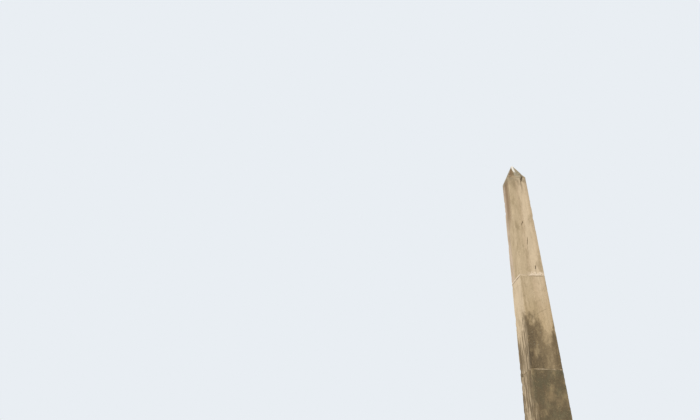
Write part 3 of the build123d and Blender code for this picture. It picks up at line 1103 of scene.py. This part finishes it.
class OBELISK_OT_shaft(bpy.types.Operator):
    """Cuts the three long stones of the shaft, with the hollows and the repair of the upper one"""

    bl_idname = "obelisk.shaft"
    bl_label = "Shaft stones"

    def execute(self, context):
        materials = (rubbed_limestone_lower, rubbed_limestone_middle, rubbed_limestone_upper)
        for node, material in zip(SHAFT_STONES, materials):
            piece, arrises = shaft_block(node)
            if node == "upper_shaft_stone":
                select("faces", in_or_near_hollow)
                bpy.ops.mesh.subdivide(number_cuts=HOLLOW_CUTS)
            wear_down(piece, arrises)
            if node == "upper_shaft_stone":
                sink_hollows(piece)
            set_in_place(piece, node, material(context))
        self.repair(context)
        return {"FINISHED"}

    def repair(self, context):
        """The mortar that fills the broken arris: a wedge with a ragged upper edge, flush with the stone."""
        low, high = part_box("upper_joint_repair")
        wedge = add_block("rough_upper_joint_repair", low, high)
        select("verts", lambda vert: vert.co.z > high.z - TINY and vert.co.y > high.y - TINY)
        bpy.ops.transform.translate(value=(0, (low.y - high.y) * REPAIR_LEAN, 0))
        cut_between((), REPAIR_CELL)
        round_arrises(REPAIR_ROUND)
        bpy.ops.object.mode_set(mode="OBJECT")
        points = [vert.co for vert in wedge.data.vertices]
        rise = [(point.z - low.z) / (high.z - low.z) for point in points]
        thin = [max(0, 1 - (point.x - low.x) / REPAIR_THIN_END) for point in points]
        weigh(wedge, "upper edge", [up ** 2 for up in rise])
        weigh(wedge, "thin end", [up * end ** 2 for up, end in zip(rise, thin)])
        sink(wedge, REPAIR_SUNK, "ragged", vertex_group="upper edge", direction="Z")
        sink(wedge, REPAIR_SUNK, vertex_group="thin end", direction="Z")
        trowel(wedge, REPAIR_TROWELLED)
        set_in_place(wedge, "upper_joint_repair", trowelled_lime_mortar(context, "fresh"))


class OBELISK_OT_moulded_courses(bpy.types.Operator):
    """Draws the base moulding, the cornice and the shaft's base along their outlines and wears them down"""

    bl_idname = "obelisk.moulded_courses"
    bl_label = "Moulded courses"

    def execute(self, context):
        for node in MOULDED_COURSES:
            piece, arrises = moulded_block(node)
            wear_down(piece, arrises, MOULDING_WEAR)
            set_in_place(piece, node, tooled_limestone(context))
        return {"FINISHED"}


class OBELISK_OT_plain_courses(bpy.types.Operator):
    """Cuts the stones of the die and the plinth and wears them down"""

    bl_idname = "obelisk.plain_courses"
    bl_label = "Die and plinth"

    def execute(self, context):
        for number, node in enumerate(DIE_STONES):
            piece, arrises = course_block(node)
            wear_down(piece, arrises)
            set_in_place(piece, node, tooled_limestone(context, (number + 1) % 3))
        for number, node in enumerate(PLINTH_STONES):
            edges = outer_top_edge(node, PLINTH_STONES)
            piece, arrises = course_block(node, edges, context.scene.obelisk_wear.plinth_bevel)
            wear_down(piece, arrises)
            set_in_place(piece, node, tooled_limestone(context, number))
        return {"FINISHED"}


class OBELISK_OT_steps(bpy.types.Operator):
    """Cuts the stones of the two steps, with their worn nosings"""

    bl_idname = "obelisk.steps"
    bl_label = "Steps"

    def execute(self, context):
        for ring in ("lower", "upper"):
            stones = [f"{ring}_step_{side}" for side in STEP_SIDES]
            for number, node in enumerate(stones):
                edges = outer_top_edge(node, stones)
                nosing = context.scene.obelisk_wear.nosing
                piece, arrises = course_block(node, edges, nosing, segments=3, tread=True)
                wear_down(piece, arrises, STEP_WEAR)
                set_in_place(piece, node, trodden_limestone(context, number % 2))
        return {"FINISHED"}


class OBELISK_OT_mortar(bpy.types.Operator):
    """Points the beds and the upright joints, with mortar pressed a little way behind the arrises"""

    bl_idname = "obelisk.mortar"
    bl_label = "Mortar"

    def execute(self, context):
        wear = context.scene.obelisk_wear
        for node in (*PEDESTAL_BEDS, *SHAFT_BEDS, *UPRIGHT_JOINTS):
            low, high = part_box(node)
            thin = min(range(3), key=lambda axis: (high - low)[axis])
            behind = min(wear.pointing, (high - low)[thin])
            low[thin] -= behind
            high[thin] += behind
            piece = add_block(f"pointed_{node}", low, high)
            cut_between((low.z, high.z), wear.course_cell, axes=(0, 1, 2))
            bpy.ops.object.mode_set(mode="OBJECT")
            trowel(piece, JOINT_TROWELLED)
            set_in_place(piece, node, trowelled_lime_mortar(context, MORTAR_AGES.get(node, "old")))
        for node in STEP_JOINTS:
            for material_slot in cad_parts[node].material_slots:
                material_slot.material = trowelled_lime_mortar(context)
        return {"FINISHED"}


class OBELISK_OT_core(bpy.types.Operator):
    """Gives the rubble inside the steps its finish"""

    bl_idname = "obelisk.core"
    bl_label = "Core"

    def execute(self, context):
        for material_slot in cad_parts["core"].material_slots:
            material_slot.material = laid_lime_rubble(context)
        return {"FINISHED"}


class OBELISK_OT_stage(bpy.types.Operator):
    """Sets the floor, the backdrop, the light and the camera"""

    bl_idname = "obelisk.stage"
    bl_label = "Stage"

    def execute(self, context):
        settings = context.scene.obelisk_stage
        self.floor(settings)
        self.backdrop(context.scene, settings)
        self.key_light(settings)
        self.camera(context.scene, settings)
        context.scene.view_settings.view_transform = "Standard"
        return {"FINISHED"}

    def floor(self, settings):
        bpy.ops.object.select_all(action="DESELECT")
        bpy.ops.mesh.primitive_circle_add(
            vertices=96, radius=FLOOR_RADIUS, fill_type="NGON", location=(0, 0, -FLOOR_GAP)
        )
        floor = bpy.context.object
        floor.name = "floor"
        made = bpy.data.materials.new("floor")
        made.use_nodes = True
        surface = made.node_tree.nodes["Principled BSDF"]
        surface.inputs["Base Color"].default_value = (*settings.floor, 1)
        surface.inputs["Roughness"].default_value = 0.95
        floor.data.materials.append(made)

    def backdrop(self, scene, settings):
        world = bpy.data.worlds.new("backdrop")
        world.use_nodes = True
        scene.world = world
        tree = world.node_tree
        tree.nodes.clear()
        soft = add(tree, "Background", {"Color": (1, 1, 1, 1), "Strength": settings.sky_strength})
        seen = add(tree, "Background", {"Color": (*settings.backdrop, 1), "Strength": 1.0})
        is_camera = add(tree, "LightPath", output="Is Camera Ray")
        shown = add(tree, "MixShader", {0: is_camera, 1: soft, 2: seen})
        add(tree, "OutputWorld", {"Surface": shown})

    def key_light(self, settings):
        bpy.ops.object.light_add(type="SUN", rotation=KEY_TURNED)
        key = bpy.context.object
        key.name = "key"
        key.data.energy = settings.key_strength
        key.data.angle = KEY_WIDTH

    def camera(self, scene, settings):
        away = settings.standpoint
        eye = Vector((-math.sin(away), -math.cos(away), 0)) * settings.distance
        eye.z = settings.eye_height
        bpy.ops.object.camera_add()
        camera = bpy.context.object
        camera.name = "camera"
        camera.data.sensor_width = SENSOR_WIDTH
        camera.data.lens = settings.lens
        camera.data.clip_end = SIGHT
        camera.matrix_world = (
            Matrix.Translation(eye)
            @ Matrix.Rotation(-settings.heading, 4, "Z")
            @ Matrix.Rotation(math.radians(90) + settings.pitch, 4, "X")
            @ Matrix.Rotation(settings.roll, 4, "Z")
        )
        scene.camera = camera


OPERATORS = (
    OBELISK_OT_pyramidion,
    OBELISK_OT_shaft,
    OBELISK_OT_moulded_courses,
    OBELISK_OT_plain_courses,
    OBELISK_OT_steps,
    OBELISK_OT_mortar,
    OBELISK_OT_core,
    OBELISK_OT_stage,
)


class OBELISK_PT_panel(bpy.types.Panel):
    """Lists the steps in which the obelisk is made, and what can be set"""

    bl_idname = "OBELISK_PT_panel"
    bl_label = "Stone obelisk"
    bl_space_type = "VIEW_3D"
    bl_region_type = "UI"
    bl_category = "Obelisk"

    def draw(self, context):
        for operator in OPERATORS:
            self.layout.operator(operator.bl_idname)
        for group in GROUPS:
            settings = getattr(context.scene, group)
            box = self.layout.box()
            for name in settings.bl_rna.properties.keys():
                if name not in ("rna_type", "name"):
                    box.prop(settings, name)


GROUPS = {"obelisk_wear": ObeliskWear, "obelisk_colours": ObeliskColours, "obelisk_stage": ObeliskStage}


def register():
    for group in GROUPS.values():
        bpy.utils.register_class(group)
    for name, group in GROUPS.items():
        setattr(bpy.types.Scene, name, PointerProperty(type=group))
    for operator in OPERATORS:
        bpy.utils.register_class(operator)
    bpy.utils.register_class(OBELISK_PT_panel)


def unregister():
    bpy.utils.unregister_class(OBELISK_PT_panel)
    for operator in reversed(OPERATORS):
        bpy.utils.unregister_class(operator)
    for name in GROUPS:
        delattr(bpy.types.Scene, name)
    for group in reversed(GROUPS.values()):
        bpy.utils.unregister_class(group)


def main():
    register()
    bpy.ops.obelisk.pyramidion()
    bpy.ops.obelisk.shaft()
    bpy.ops.obelisk.moulded_courses()
    bpy.ops.obelisk.plain_courses()
    bpy.ops.obelisk.steps()
    bpy.ops.obelisk.mortar()
    bpy.ops.obelisk.core()
    bpy.ops.obelisk.stage()


if __name__ == "__main__":
    main()
